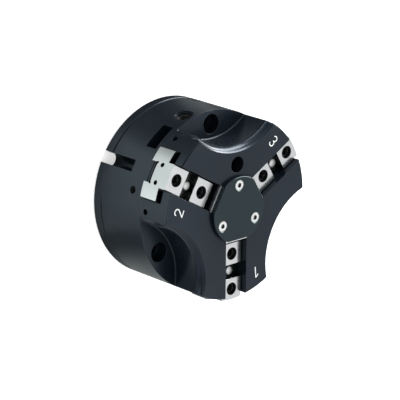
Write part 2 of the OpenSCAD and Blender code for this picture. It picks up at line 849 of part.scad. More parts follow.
// Cross-section of the jaw's flanges and neck, y across and z up
module jaw_profile() {
    f = flange_w / 2;
    n = cleat_w / 2;
    e = jaw_edge;
    difference() {
        union() {
            polygon([
                [-f + e, 0], [f - e, 0], [f, e], [f, flange_h - e], [f - e, flange_h],
                [-f + e, flange_h], [-f, flange_h - e], [-f, e]
            ]);
            polygon([
                [-n, flange_h - OVER], [n, flange_h - OVER],
                [n, flange_h + cleat_h - e], [n - e, flange_h + cleat_h],
                [-n + e, flange_h + cleat_h], [-n, flange_h + cleat_h - e]
            ]);
        }
        translate([-channel_w / 2, -OVER]) square([channel_w, channel_h + OVER]);
        for (side = [-1, 1])
            translate([side * (channel_w / 2 - relief_in), channel_h - relief_in])
                circle(r = relief_r, $fn = 32);
    }
}

// Jaw body before its holes: the profile, run out to the curved end
module jaw_body() {
    intersection() {
        translate([flange_x, 0, jaw_z])
            rotate([90, 0, 90]) linear_extrude(jaw_end_x - flange_x + OVER) jaw_profile();
        translate([jaw_in, 0, 0]) cylinder(r = body_r, h = front_z);
    }
}

// T-shaped hook with sloping faces that reaches into the wedge
module jaw_hook() {
    slope_slab(-hook_t, 0, hook_z, hook_top_z, hook_w);
    rotate([90, 0, 0])
        linear_extrude(hook_neck_w, center = true)
            polygon([
                [hook_x(hook_z) - hook_t / 2, hook_z], [flange_x + OVER, hook_z],
                [flange_x + OVER, hook_top_z], [hook_x(hook_top_z) - hook_t / 2, hook_top_z]
            ]);
}

module jaw() {
    color("#d3d8db")
        difference() {
            union() {
                difference() {
                    jaw_body();
                    // the cleats start outside the steel strip
                    arm_box(flange_x - OVER, cleat_x, flange_w, jaw_z + flange_h, front_z);
                    // cross groove
                    arm_box(key_x, key_x + key_w, flange_w, key_z, front_z);
                }
                jaw_hook();
            }
            // finger threads
            for (side = [-1, 1])
                translate([pin_x + side * thread_pitch / 2, 0, jaw_top_z]) {
                    translate([0, 0, -thread_depth])
                        cylinder(d = thread_core_d, h = thread_depth + OVER);
                    translate([0, 0, -(thread_mouth_d - thread_core_d) / 2])
                        cylinder(d1 = thread_core_d, d2 = thread_mouth_d + 2 * OVER,
                                 h = (thread_mouth_d - thread_core_d) / 2 + OVER);
                }
            // seat of the locating pin
            translate([pin_x, 0, key_z - pin_set]) cylinder(d = pin_shank_d, h = pin_set + OVER);
            // small threads in the end face
            for (side = [-1, 1])
                translate([jaw_end_x - end_hole_depth, side * end_hole_pitch / 2, jaw_z + end_hole_z])
                    rotate([0, 90, 0]) cylinder(d = end_hole_d, h = end_hole_depth + OVER);
        }
}

// Locating pin with a pressed shank and a domed head
module jaw_pin() {
    r = pin_d / 2;
    side_z = pin_h - pin_dome;
    color("#dfe3e6")
        translate([pin_x, 0, key_z])
            rotate_extrude()
                polygon([
                    [0, -pin_set], [pin_shank_d / 2, -pin_set], [pin_shank_d / 2, 0],
                    [r, 0], [r, side_z],
                    for (a = [15:15:75]) [r * cos(a), side_z + pin_dome * sin(a)],
                    [0, side_z + pin_dome]
                ]);
}

// ---------- nodes ----------

housing();
guide_block(1);  // guide_block_1
guide_block(2);  // guide_block_2
guide_block(3);  // guide_block_3
rear_cover();
rear_cover_screws();
rear_cover_pins();
rear_cover_oring();
direct_port_screws();
direct_port_orings();
piston_disc();
piston_seal();
piston_guide_ring();
piston_oring();
piston_screw();
wedge_hook();
rod_seal();
front_cover();
front_cover_screws();
at_arm(1) slot_strip();  // slot_strip_1
at_arm(2) slot_strip();  // slot_strip_2
at_arm(3) slot_strip();  // slot_strip_3
at_arm(1) jaw();  // jaw_1
at_arm(2) jaw();  // jaw_2
at_arm(3) jaw();  // jaw_3
at_arm(1) jaw_pin();  // jaw_pin_1
at_arm(2) jaw_pin();  // jaw_pin_2
at_arm(3) jaw_pin();  // jaw_pin_3
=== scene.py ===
"""Looks of a three jaw centric gripper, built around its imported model.

+Z runs from the rear mounting face towards the jaws. All lengths are in metres.
"""

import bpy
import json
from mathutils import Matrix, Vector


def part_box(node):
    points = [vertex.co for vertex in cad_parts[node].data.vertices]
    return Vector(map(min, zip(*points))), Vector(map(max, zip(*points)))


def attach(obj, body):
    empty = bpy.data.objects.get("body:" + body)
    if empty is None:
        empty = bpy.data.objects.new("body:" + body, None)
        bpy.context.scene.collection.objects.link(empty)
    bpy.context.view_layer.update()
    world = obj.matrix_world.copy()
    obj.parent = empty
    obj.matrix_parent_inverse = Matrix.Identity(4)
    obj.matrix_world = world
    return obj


bl_info = {
    "name": "Three Jaw Centric Gripper",
    "version": (1, 0, 0),
    "blender": (4, 5, 0),
    "location": "3D View > Sidebar > Gripper",
    "description": "Finishes, threads, arm numerals and studio for a three jaw centric gripper",
    "category": "Object",
}

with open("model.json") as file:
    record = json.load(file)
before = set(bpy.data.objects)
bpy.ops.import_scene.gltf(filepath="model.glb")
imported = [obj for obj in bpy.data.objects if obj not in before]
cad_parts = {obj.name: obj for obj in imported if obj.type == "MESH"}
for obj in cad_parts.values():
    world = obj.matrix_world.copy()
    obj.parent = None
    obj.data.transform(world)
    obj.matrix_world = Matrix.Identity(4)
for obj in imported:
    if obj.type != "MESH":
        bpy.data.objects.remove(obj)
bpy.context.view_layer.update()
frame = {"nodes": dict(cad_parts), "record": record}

import json
import math

import bpy
import numpy as np
from bpy.props import FloatProperty, FloatVectorProperty, IntProperty, PointerProperty
from mathutils import Matrix

MM = 0.001
MICRON = 0.000001
# Angles of the arms and of the scallops opposite them, in degrees from +X
ARM_TURNS = {1: -90.0, 2: 150.0, 3: 30.0}
SCALLOP_TURNS = {arm: turn + 180.0 for arm, turn in ARM_TURNS.items()}
MOUNTS = {m["name"]: m for m in frame["record"]["mounts"]}
FRONT_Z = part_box("guide_block_1")[1].z
BODY_MATERIAL = "black_body"
FINGER_CHAMFER = 0.9 * MM  # width and depth of the chamfer at the mouth of a finger thread
# colour of the painted shade laid over recesses and holes
MATT_BLACK = (0.004, 0.004, 0.004)
FLOOR_LEVEL = -0.2 * MM
FLOOR_RADIUS = 4.0
# The camera's right, up and back, and its place
CAMERA_AXES = np.array([
    [0.73934, 0.00586, 0.67331], [0.19978, 0.95303, -0.22767], [-0.64301, 0.30283, 0.70344]])
CAMERA_PLACE = (-0.72276, 0.33848, 0.82066)
# How bright the floor is where the gripper mirrors it, by angle about the axis, in degrees
MIRRORED_FLOOR = (
    (-180, 0.95), (-170, 0.79), (-161, 0.62), (-153, 0.23), (-144, 0.18), (-135, 0.29),
    (-126, 0.46), (-118, 0.51), (-90, 0.41), (-40, 0.32), (-10, 0.09), (50, 0.09), (62, 0.22),
    (74, 0.18), (83, 0.06), (100, 0.06), (118, 0.18), (127, 0.41), (136, 0.94), (154, 1.00),
    (180, 0.95))


# ---------- shader maths ----------


class Value:
    """A socket that takes part in Python expressions, each of which adds its Math node."""

    def __init__(self, graph, socket):
        self.graph = graph
        self.socket = socket

    def maths(self, operation, *terms, clamp=False):
        settings = {"operation": operation, "use_clamp": clamp}
        return self.graph.node("ShaderNodeMath", settings, dict(enumerate(terms)))

    def __add__(self, other):
        return self.maths("ADD", self, other)

    __radd__ = __add__

    def __sub__(self, other):
        return self.maths("SUBTRACT", self, other)

    def __rsub__(self, other):
        return self.maths("SUBTRACT", other, self)

    def __mul__(self, other):
        return self.maths("MULTIPLY", self, other)

    __rmul__ = __mul__

    def __truediv__(self, other):
        return self.maths("DIVIDE", self, other)

    def __pow__(self, other):
        return self.maths("POWER", self, other)

    def clamped(self):
        return self.maths("ADD", self, 0.0, clamp=True)


class Graph:
    """The nodes of one material or world."""

    def __init__(self, owner):
        owner.use_nodes = True
        self.tree = owner.node_tree
        self.tree.nodes.clear()

    def node(self, kind, settings=None, inputs=None, output=0):
        """One node: its settings are made first, then each input gets a value or a link."""
        made = self.tree.nodes.new(kind)
        for name, value in (settings or {}).items():
            if name == "stops":
                elements = made.color_ramp.elements
                ends = zip(elements, (value[0], value[-1]))
                inner = [(elements.new(stop[0]), stop) for stop in value[1:-1]]
                for element, (place, tone) in (*ends, *inner):
                    element.position, element.color = place, (tone, tone, tone, 1.0)
            else:
                setattr(made, name, value)
        for name, value in (inputs or {}).items():
            if isinstance(value, Value):
                self.tree.links.new(value.socket, made.inputs[name])
            else:
                made.inputs[name].default_value = value
        return Value(self, made.outputs[output]) if made.outputs else None

    def vector(self, operation, *terms):
        """Vector Math. Products and lengths come out as numbers, the rest as vectors."""
        number = operation in ("DOT_PRODUCT", "LENGTH")
        return self.node("ShaderNodeVectorMath", {"operation": operation},
                         dict(enumerate(terms)), output="Value" if number else "Vector")

    def place(self, scale=1.0, turn=0.0):
        """Object coordinates, turned about Z and scaled, evenly or along each axis."""
        at = self.node("ShaderNodeTexCoord", output="Object")
        turned = self.node("ShaderNodeMapping", {"vector_type": "TEXTURE"},
                           {"Vector": at, "Rotation": (0.0, 0.0, math.radians(turn))})
        return self.vector("MULTIPLY", turned,
                           scale if isinstance(scale, tuple) else (scale,) * 3)

    def height(self):
        """Height of the surface above the rear face."""
        return self.node("ShaderNodeSeparateXYZ", {}, {"Vector": self.place()}, output="Z")

    def noise(self, scale, detail=2.0, turn=0.0, roughness=0.5):
        """Noise from 0 to 1. Its scale, even or one for each axis, is in cells a metre."""
        return self.node(
            "ShaderNodeTexNoise", {},
            {"Vector": self.place(scale, turn), "Scale": 1.0, "Detail": detail,
             "Roughness": roughness},
        )

    def blend(self, factor, first, second):
        """Colour that runs from first to second as factor goes from 0 to 1."""
        return self.node(
            "ShaderNodeMix", {"data_type": "RGBA"},
            {0: factor, 6: colour(first), 7: colour(second)}, output=2,
        )

    def soft_normal(self, radius):
        """Normal that rounds every edge over the given radius."""
        return self.node("ShaderNodeBevel", {"samples": 4}, {"Radius": radius})

    def open_sky(self, distance):
        """1 on open faces, falling towards 0 in holes and corners within the distance."""
        return self.node("ShaderNodeAmbientOcclusion", {"samples": 6}, {"Distance": distance},
                         output="AO")

    def edges(self, soft):
        """0 on flat ground, rising to 1 at the edges that the soft normal rounds."""
        true = self.node("ShaderNodeNewGeometry", output="Normal")
        return ((1.0 - self.vector("DOT_PRODUCT", soft, true)) * 5.0).clamped()

    def bump(self, height, depth, normal=None):
        """Normal of a relief whose height runs from 0 to 1 over depth."""
        inputs = {"Height": height, "Distance": depth}
        if normal:
            inputs["Normal"] = normal
        return self.node("ShaderNodeBump", {}, inputs)

    def surface(self, clear=None, painted_black=None, **sockets):
        """Principled shader on the material output. A keyword's underscores are spaces.

        Where clear is 1, the surface lets everything through, and where the black factor is 1,
        it is matt and black: painted shade laid over recesses and holes.
        """
        names = {key.replace("_", " "): value for key, value in sockets.items()}
        shader = self.node("ShaderNodeBsdfPrincipled", {}, names)
        if painted_black:
            matt = self.node("ShaderNodeBsdfDiffuse", {}, {"Color": colour(MATT_BLACK)})
            shader = self.node("ShaderNodeMixShader", {}, {0: painted_black, 1: shader, 2: matt})
        if clear:
            nothing = self.node("ShaderNodeBsdfTransparent")
            shader = self.node("ShaderNodeMixShader", {}, {0: clear, 1: shader, 2: nothing})
        self.node("ShaderNodeOutputMaterial", {}, {"Surface": shader})


def colour(value):
    """A colour with its alpha, or a link as it is."""
    return value if isinstance(value, Value) else (*tuple(value)[:3], 1.0)


def material(name):
    """A new material and its graph."""
    made = bpy.data.materials.new(name)
    return made, Graph(made)


# ---------- finishes ----------


def black_anodised(name, finish, sheen, turned=1.0):
    """Satin black oxide on turned and milled aluminium, paler along worn edges.

    Recesses are blended towards matt black by ambient occlusion: painted shade.
    """
    made, g = material(name)
    cloud = g.noise(22.0, 3.0)
    grain = g.noise(1500.0, 2.0)
    rings = g.noise((14.0, 14.0, 2400.0), 2.0)
    streaks = g.noise((60.0, 60.0, 420.0), 3.0)
    soft = g.soft_normal(finish.edge_radius)
    worn = g.edges(soft) * (0.35 + 0.65 * g.noise(310.0, 3.0))
    base = g.blend(cloud, finish.anodised, finish.anodised_light)
    base = g.blend(worn * finish.edge_wear, base, finish.worn_edge)
    rough = finish.anodised_roughness + 0.10 * (cloud - 0.5) + 0.10 * (streaks - 0.5)
    relief = turned * 0.7 * rings + 0.08 * grain
    g.surface(
        Base_Color=base,
        Roughness=(rough - 0.08 * worn).clamped(),
        IOR=finish.anodised_ior,
        Specular_Tint=colour(sheen),
        Normal=g.bump(relief, 4.0 * MICRON, soft),
        # painted shade: matt black mixed in where the body is occluded, in recesses and corners
        painted_black=(1.0 - g.open_sky(14.0 * MM) ** 2.0) * finish.recess_shade,
    )
    return made


def ground_steel(name, finish, turn=0.0, shade=1.0, rough=0.0, shadow=3.0, holes=(), top=None):
    """Hardened steel with grinding lines along the arm, faint stains and painted shade in corners.

    Each hole is a point on its axis and a radius, within which the steel is painted matt and
    black as painted shade. Faces that look along the arm, the milled ends, are painted darker,
    most along their edges: painted shade. Next to top, the height of the topmost faces, no
    painted shade is laid in the corners.
    """
    made, g = material(name)
    way = math.radians(turn)
    along = g.vector("DOT_PRODUCT", g.node("ShaderNodeTexCoord", output="Normal"),
                     (math.cos(way), math.sin(way), 0.0))
    # painted shade on the faces that look along the arm, the jaws' milled ends
    end_shade = ((along - 0.9) * 10.0).clamped()
    lines = g.noise((90.0, 5200.0, 5200.0), 3.0, turn)
    fine = g.noise((500.0, 14000.0, 14000.0), 2.0, turn)
    stain = g.noise(75.0, 4.0, turn, 0.6)
    soft = g.soft_normal(finish.edge_radius * 0.7)
    tone = 0.45 * lines + 0.25 * fine + 0.3 * stain
    base = g.blend(tone, [c * shade * 0.86 for c in finish.steel],
                   [min(c * shade * 1.06, 1.0) for c in finish.steel])
    base = g.blend(end_shade * (finish.end_shade_share + finish.end_edge_shade * g.edges(soft)),
                   base, finish.painted_shade)
    # painted shade: darker towards holes and corners, by ambient occlusion
    corner_shade = 1.0 - g.open_sky(6.0 * MM) ** shadow
    if top is not None:
        # the painted shade is left off the topmost faces, fading in below them
        shade_free, fade = 0.4 * MM, 0.3 * MM
        corner_shade = corner_shade * ((top - shade_free - g.height()) / fade).clamped()
    base = g.blend(corner_shade, base, finish.painted_shade)
    painted_black, rim = None, 0.15 * MM
    # painted shade: matt black inside each hole and its chamfer
    for centre, radius in holes:
        flat = g.vector("MULTIPLY", g.vector("SUBTRACT", g.place(), centre), (1.0, 1.0, 0.0))
        inside = ((radius - g.vector("LENGTH", flat)) / rim).clamped()
        painted_black = inside if painted_black is None else (painted_black + inside).clamped()
    g.surface(
        painted_black=painted_black,
        Base_Color=base,
        Metallic=1.0,
        Roughness=(finish.steel_roughness + rough + 0.16 * (stain - 0.5)
                   + 0.08 * (lines - 0.5)).clamped(),
        Normal=g.bump(0.7 * lines + 0.3 * fine, 6.0 * MICRON, soft),
    )
    return made


def blued_strip(name, finish, turn):
    """Blued spring steel with rolling lines, bright steel in a band at the top: the bare cut edge
    and, below it, a painted highlight.
    """
    made, g = material(name)
    lines = g.noise((300.0, 6000.0, 6000.0), 3.0, turn)
    # the bare cut edge, carried down the side as a painted highlight
    cut, fade = FRONT_Z - 0.35 * MM, 0.2 * MM
    edge = ((g.height() - cut) / fade).clamped()
    blued = g.blend(lines, [c * 0.7 for c in finish.blued_steel], finish.blued_steel)
    g.surface(
        Base_Color=g.blend(edge, blued, finish.steel),
        Metallic=1.0,
        Roughness=0.25 + 0.15 * lines,
        Normal=g.bump(lines, 6.0 * MICRON, g.soft_normal(finish.edge_radius * 0.3)),
    )
    return made


def plated_screw(name, finish):
    """Bright zinc plate with a fine orange peel, and painted shade darkening its hollows."""
    made, g = material(name)
    peel = g.noise(3800.0, 2.0)
    stain = g.noise(420.0, 3.0)
    soft = g.soft_normal(finish.edge_radius * 0.5)
    base = g.blend(stain, [c * 0.88 for c in finish.screw], finish.screw)
    # painted shade: the hollows, such as the hex socket, darkened by ambient occlusion
    base = g.blend(g.open_sky(1.5 * MM) ** 4.0, finish.painted_shade, base)
    g.surface(
        Base_Color=base,
        Metallic=1.0,
        Roughness=0.24 + 0.16 * stain,
        Normal=g.bump(peel, 6.0 * MICRON, soft),
    )
    return made


def turned_aluminium(name, finish):
    """Bare aluminium with fine rings from the lathe."""
    made, g = material(name)
    feed = 0.35 * MM
    turns = g.vector("LENGTH", g.place((1.0, 1.0, 0.0))) * (2.0 * math.pi / feed)
    groove = turns.maths("SINE", turns)
    haze = g.noise(60.0, 3.0)
    base = g.blend(haze, [c * 0.9 for c in finish.aluminium], finish.aluminium)
    g.surface(
        Base_Color=base,
        Metallic=1.0,
        Roughness=0.3 + 0.12 * haze,
        Normal=g.bump(groove * 0.5 + 0.5, 4.0 * MICRON, g.soft_normal(finish.edge_radius)),
    )
    return made


def soft_part(name, base, rough, finish):
    """Moulded rubber or plastic: a faint mottle and a fine moulded grain."""
    made, g = material(name)
    mottle = g.noise(300.0, 3.0)
    grain = g.noise(6000.0, 2.0)
    g.surface(
        Base_Color=g.blend(mottle, [c * 0.8 for c in base], [c * 1.2 for c in base]),
        Roughness=rough + 0.1 * (mottle - 0.5),
        Normal=g.bump(grain, 10.0 * MICRON, g.soft_normal(finish.edge_radius)),
    )
    return made


def marking_paint(name, finish):
    """White paint in the engraved numerals, slightly uneven."""
    made, g = material(name)
    patch = g.noise(900.0, 3.0)
    g.surface(
        Base_Color=g.blend(patch, [c * 0.86 for c in finish.numeral_paint], finish.numeral_paint),
        Roughness=0.5 + 0.2 * patch,
        Normal=g.bump(patch, 20.0 * MICRON),
    )
    return made


def mount_size(mount, name):
    """Radius or length of a mount, in metres."""
    return mount["dims"][name + "_mm"] * MM


def dress(node, made):
    """Give a carried-over node its material."""
    mesh = frame["nodes"][node].data
    mesh.materials.clear()
    mesh.materials.append(made)


# ---------- surfaces ----------


def quads(rows, columns):
    """Quads of a grid of rows x columns points, with the columns joined into a ring."""
    i, j = np.meshgrid(np.arange(rows - 1), np.arange(columns), indexing="ij")
    k = (j + 1) % columns
    faces = np.stack([i * columns + j, (i + 1) * columns + j,
                      (i + 1) * columns + k, i * columns + k], -1)
    return faces.reshape(-1, 4)


def tube(points):
    """Closed tube through a grid of rows x ring points, with flat ends."""
    rows, ring = points.shape[:2]
    ends = [list(range(ring)), [(rows - 1) * ring + j for j in reversed(range(ring))]]
    return points.reshape(-1, 3), quads(rows, ring).tolist() + ends


def outward(points, faces):
    """The faces turned so that the solid's signed volume is positive."""
    corners = [(f[0], f[i], f[i + 1]) for f in faces for i in range(1, len(f) - 1)]
    a, b, c = (points[np.array(corners)[:, i]] for i in range(3))
    volume = np.einsum("ij,ij->i", a, np.cross(b, c)).sum()
    return faces if volume > 0 else [list(reversed(f)) for f in faces]


def axes_of(axis):
    """Two unit vectors across an axis, and the axis itself, as rows."""
    a = np.array(axis, float) / np.linalg.norm(axis)
    side = np.array([0.0, 0.0, 1.0]) if abs(a[2]) < 0.9 else np.array([1.0, 0.0, 0.0])
    u = np.cross(side, a)
    u /= np.linalg.norm(u)
    return np.array([u, np.cross(a, u), a])


def thread_ridge(origin, axis, wall_r, height, pitch, low, high, steps):
    """Ridge of an inner thread.

    A trapezoid, its base on the wall and its crest nearer the axis, is carried along a helix:
    the angle grows with the height along the axis, one turn a pitch. The crest sinks into the
    wall over the first and the last half turn. The base lies a hair inside the wall.
    """
    foot, tip = 0.42 * pitch, 0.07 * pitch
    turns = (high - low) / pitch
    u = np.linspace(0.0, 1.0, int(turns * steps) + 1)
    full = np.clip(np.minimum(u, 1.0 - u) * turns * 2.0, 0.0, 1.0)
    base = np.full_like(u, wall_r + 0.02 * MM)
    crest = wall_r + 0.01 * MM - (height + 0.01 * MM) * full
    r = np.stack([base, base, crest, crest], 1)
    shift = np.array([-foot, foot, tip, -tip])
    along = low + (high - low) * u[:, None] + shift
    angle = (2.0 * np.pi * turns * u)[:, None] * np.ones(4)
    local = np.stack([r * np.cos(angle), r * np.sin(angle), along], -1)
    points, faces = tube(local @ axes_of(axis) + np.array(origin))
    return points, outward(points, faces)


def stroke(path, width, low, high, ends=9):
    """A stroke of constant width with round ends, as a solid from height low to high.

    The path is offset by half the width to both sides, and half circles close the outline.
    """
    step = np.gradient(path, axis=0)
    step /= np.linalg.norm(step, axis=1)[:, None]
    side = np.stack([-step[:, 1], step[:, 0]], 1) * width / 2.0
    turn = np.linspace(0.0, np.pi, ends)[1:-1, None]
    cap_end = path[-1] + side[-1] * np.cos(turn) + step[-1] * width / 2.0 * np.sin(turn)
    cap_start = path[0] - side[0] * np.cos(turn) - step[0] * width / 2.0 * np.sin(turn)
    outline = np.concatenate([path + side, cap_end, (path - side)[::-1], cap_start])
    n, m = len(outline), len(path)
    points = np.concatenate([np.c_[outline, np.full(n, z)] for z in (low, high)])
    # the two sides of the stroke face each other across the path, so quads fill it
    left, right = np.arange(m), (m + ends - 2 + np.arange(m))[::-1]
    faces = []
    for base in (0, n):
        strip = np.stack([left[:-1], right[:-1], right[1:], left[1:]], 1) + base
        cap_a = [int(left[-1])] + list(range(m, m + ends - 2)) + [int(right[-1])]
        cap_b = [int(right[0])] + list(range(2 * m + ends - 2, n)) + [int(left[0])]
        level = strip.tolist() + [[p + base for p in cap_a][::-1], [p + base for p in cap_b][::-1]]
        faces += level if base == 0 else [f[::-1] for f in level]
    j = np.arange(n)
    walls = np.stack([j, j + n, (j + 1) % n + n, (j + 1) % n], 1)
    return points, outward(points, faces + walls.tolist())


def arc(centre, radius, start, stop, count=25):
    """Points on a circle, from one angle to another, in degrees."""
    a = np.radians(np.linspace(start, stop, count))
    return np.stack([centre[0] + radius * np.cos(a), centre[1] + radius * np.sin(a)], 1)


def line(start, stop, count):
    """Evenly spaced points on a straight line."""
    return np.linspace(start, stop, count)


def joined(parts):
    """Several surfaces as one: points in a row, faces counted on."""
    points, faces, count = [], [], 0
    for p, f in parts:
        points.append(p)
        faces += [[int(v) + count for v in face] for face in f]
        count += len(p)
    return np.concatenate(points), faces


def piece(name, points, faces, made, body, smooth=True):
    """A finished piece at the origin that rides on a body."""
    mesh = bpy.data.meshes.new(name)
    mesh.from_pydata(points.tolist(), [], faces)
    mesh.polygons.foreach_set("use_smooth", np.full(len(mesh.polygons), smooth))
    mesh.materials.append(made)
    mesh.validate()
    made_object = bpy.data.objects.new(name, mesh)
    bpy.context.scene.collection.objects.link(made_object)
    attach(made_object, body)
    return made_object


# ---------- properties ----------


class GripperFinish(bpy.types.PropertyGroup):
    """Colours and roughness of the gripper's finishes."""

    anodised: FloatVectorProperty(
        name="Anodised", description="Darkest tone of the black anodised body",
        subtype="COLOR", default=(0.0022, 0.0046, 0.0078), min=0.0, max=1.0)
    anodised_light: FloatVectorProperty(
        name="Anodised, light", description="Lightest tone of the black anodised body",
        subtype="COLOR", default=(0.0042, 0.0083, 0.0135), min=0.0, max=1.0)
    body_sheen: FloatVectorProperty(
        name="Body sheen", description="Tint of the light that the body mirrors",
        subtype="COLOR", default=(0.40, 0.48, 0.58), min=0.0, max=1.0)
    cover_sheen: FloatVectorProperty(
        name="Cover sheen", description="Tint of the light that the front cover mirrors",
        subtype="COLOR", default=(0.46, 0.65, 0.66), min=0.0, max=1.0)
    anodised_roughness: FloatProperty(
        name="Anodised roughness", description="Roughness of the black anodised body",
        subtype="FACTOR", default=0.24, min=0.05, max=1.0)
    anodised_ior: FloatProperty(
        name="Anodised IOR", description="Index of refraction of the oxide layer",
        default=1.65, min=1.0, max=3.0)
    worn_edge: FloatVectorProperty(
        name="Worn edge", description="Tone of the anodised edges where they are worn",
        subtype="COLOR", default=(0.16, 0.18, 0.20), min=0.0, max=1.0)
    edge_wear: FloatProperty(
        name="Edge wear", description="How far the worn tone shows on the edges",
        subtype="FACTOR", default=0.35, min=0.0, max=1.0)
    # painted shade: how far occluded recesses are blended towards matt black
    recess_shade: FloatProperty(
        name="Recess oil", description="How much the oil in recesses dulls the body",
        subtype="FACTOR", default=0.35, min=0.0, max=1.0)
    edge_radius: FloatProperty(
        name="Edge radius", description="Radius over which the edges look broken",
        subtype="DISTANCE", unit="LENGTH", default=0.25 * MM, min=0.0, max=1.0 * MM)
    steel: FloatVectorProperty(
        name="Steel", description="Colour of the ground steel jaws",
        subtype="COLOR", default=(0.83, 0.85, 0.86), min=0.0, max=1.0)
    blued_steel: FloatVectorProperty(
        name="Blued steel", description="Colour of the spring steel strips",
        subtype="COLOR", default=(0.10, 0.11, 0.13), min=0.0, max=1.0)
    # painted shade on the jaws' milled ends, and more of it along their edges
    end_shade_share: FloatProperty(
        name="Milled ends", description="How much darker the milled ends of the jaws are",
        subtype="FACTOR", default=0.45, min=0.0, max=1.0)
    end_edge_shade: FloatProperty(
        name="Milled line", description="How much darker still the ends are along their edges",
        subtype="FACTOR", default=0.5, min=0.0, max=1.0)
    # colour of the painted shade in holes, corners, screw hollows and on the jaws' ends
    painted_shade: FloatVectorProperty(
        name="Oil", description="Colour of the oil film in holes and corners",
        subtype="COLOR", default=(0.03, 0.035, 0.03), min=0.0, max=1.0)
    steel_roughness: FloatProperty(
        name="Steel roughness", description="Roughness of the ground steel",
        subtype="FACTOR", default=0.2, min=0.05, max=1.0)
    screw: FloatVectorProperty(
        name="Screws", description="Colour of the plated screws",
        subtype="COLOR", default=(0.96, 0.98, 0.98), min=0.0, max=1.0)
    aluminium: FloatVectorProperty(
        name="Aluminium", description="Colour of the bare aluminium piston",
        subtype="COLOR", default=(0.66, 0.68, 0.70), min=0.0, max=1.0)
    rubber: FloatVectorProperty(
        name="Rubber", description="Colour of the seals",
        subtype="COLOR", default=(0.012, 0.012, 0.013), min=0.0, max=1.0)
    guide_plastic: FloatVectorProperty(
        name="Guide ring", description="Colour of the piston's guide ring",
        subtype="COLOR", default=(0.52, 0.42, 0.24), min=0.0, max=1.0)
    numeral_paint: FloatVectorProperty(
        name="Numeral paint", description="Colour of the paint in the arm numerals",
        subtype="COLOR", default=(0.85, 0.87, 0.87), min=0.0, max=1.0)


class GripperDetail(bpy.types.PropertyGroup):
    """Sizes of the numerals, of the threads and of the scallops' walls."""

    numeral_height: FloatProperty(
        name="Numeral height", description="Height of the arm numerals",
        subtype="DISTANCE", unit="LENGTH", default=6.9 * MM, min=2.0 * MM, max=10.0 * MM)
    numeral_stroke: FloatProperty(
        name="Numeral stroke", description="Width of the numerals' strokes",
        subtype="DISTANCE", unit="LENGTH", default=0.6 * MM, min=0.3 * MM, max=2.0 * MM)
    numeral_circle: FloatProperty(
        name="Numeral circle", description="Distance of the numerals from the axis",
        subtype="DISTANCE", unit="LENGTH", default=41.8 * MM, min=20.0 * MM, max=46.0 * MM)
    numeral_turn: FloatProperty(
        name="Numeral turn", description="Angle between an arm and its numeral",
        subtype="ANGLE", default=math.radians(21.0), min=0.0, max=1.0)
    numeral_lean: FloatProperty(
        name="Numeral lean", description="Angle between an arm and the upright of its numeral",
        subtype="ANGLE", default=math.radians(6.0), min=-1.0, max=1.0)
    finger_pitch: FloatProperty(
        name="Finger thread pitch", description="Pitch of the finger threads",
        subtype="DISTANCE", unit="LENGTH", default=1.0 * MM, min=0.2 * MM, max=2.0 * MM)
    finger_ridge: FloatProperty(
        name="Finger thread ridge", description="Height of the finger threads' ridges",
        subtype="DISTANCE", unit="LENGTH", default=0.32 * MM, min=0.05 * MM, max=1.0 * MM)
    thread_steps: IntProperty(
        name="Thread steps", description="Points on each turn of a thread",
        default=28, min=8, max=64)
    scallop_reach: FloatProperty(
        name="Scallop reach", description="Distance of a scallop's wall from the axis",
        subtype="DISTANCE", unit="LENGTH", default=32.3 * MM, min=30.0 * MM, max=36.0 * MM)
    scallop_radius: FloatProperty(
        name="Scallop radius", description="Radius of a scallop where its rim begins",
        subtype="DISTANCE", unit="LENGTH", default=38.7 * MM, min=36.0 * MM, max=42.0 * MM)
    scallop_rim: FloatProperty(
        name="Scallop rim", description="Depth of the chamfer on the rim of a scallop",
        subtype="DISTANCE", unit="LENGTH", default=0.8 * MM, min=0.0, max=2.0 * MM)
    slot_over_scallop: FloatProperty(
        name="Floor step", description="Height of the slot floor over the scallop floor",
        subtype="DISTANCE", unit="LENGTH", default=0.5 * MM, min=0.0, max=2.0 * MM)
    wall_depth: FloatProperty(
        name="Wall depth", description="How far a scallop's wall stands in below its chamfer",
        subtype="DISTANCE", unit="LENGTH", default=2.0 * MM, min=0.2 * MM, max=2.6 * MM)
    wall_chamfer: FloatProperty(
        name="Wall chamfer", description="Height of the steep chamfer over a scallop's wall",
        subtype="DISTANCE", unit="LENGTH", default=4.2 * MM, min=0.5 * MM, max=6.0 * MM)
    wall_rounding: FloatProperty(
        name="Wall rounding", description="Radius between a scallop's wall and its chamfer",
        subtype="DISTANCE", unit="LENGTH", default=3.0 * MM, min=0.2 * MM, max=6.0 * MM)
    wall_lean: FloatProperty(
        name="Wall lean", description="Angle between a scallop's wall and its chamfer",
        subtype="ANGLE", default=math.radians(31.0), min=0.1, max=1.0)
    wall_fillet: FloatProperty(
        name="Wall fillet", description="Radius between a scallop's wall and its floor",
        subtype="DISTANCE", unit="LENGTH", default=0.6 * MM, min=0.2 * MM, max=2.6 * MM)
    wall_sunk: FloatProperty(
        name="Wall sunk", description="Depth to which the wall's back lies in the body",
        subtype="DISTANCE", unit="LENGTH", default=0.1 * MM, min=0.0, max=0.5 * MM)


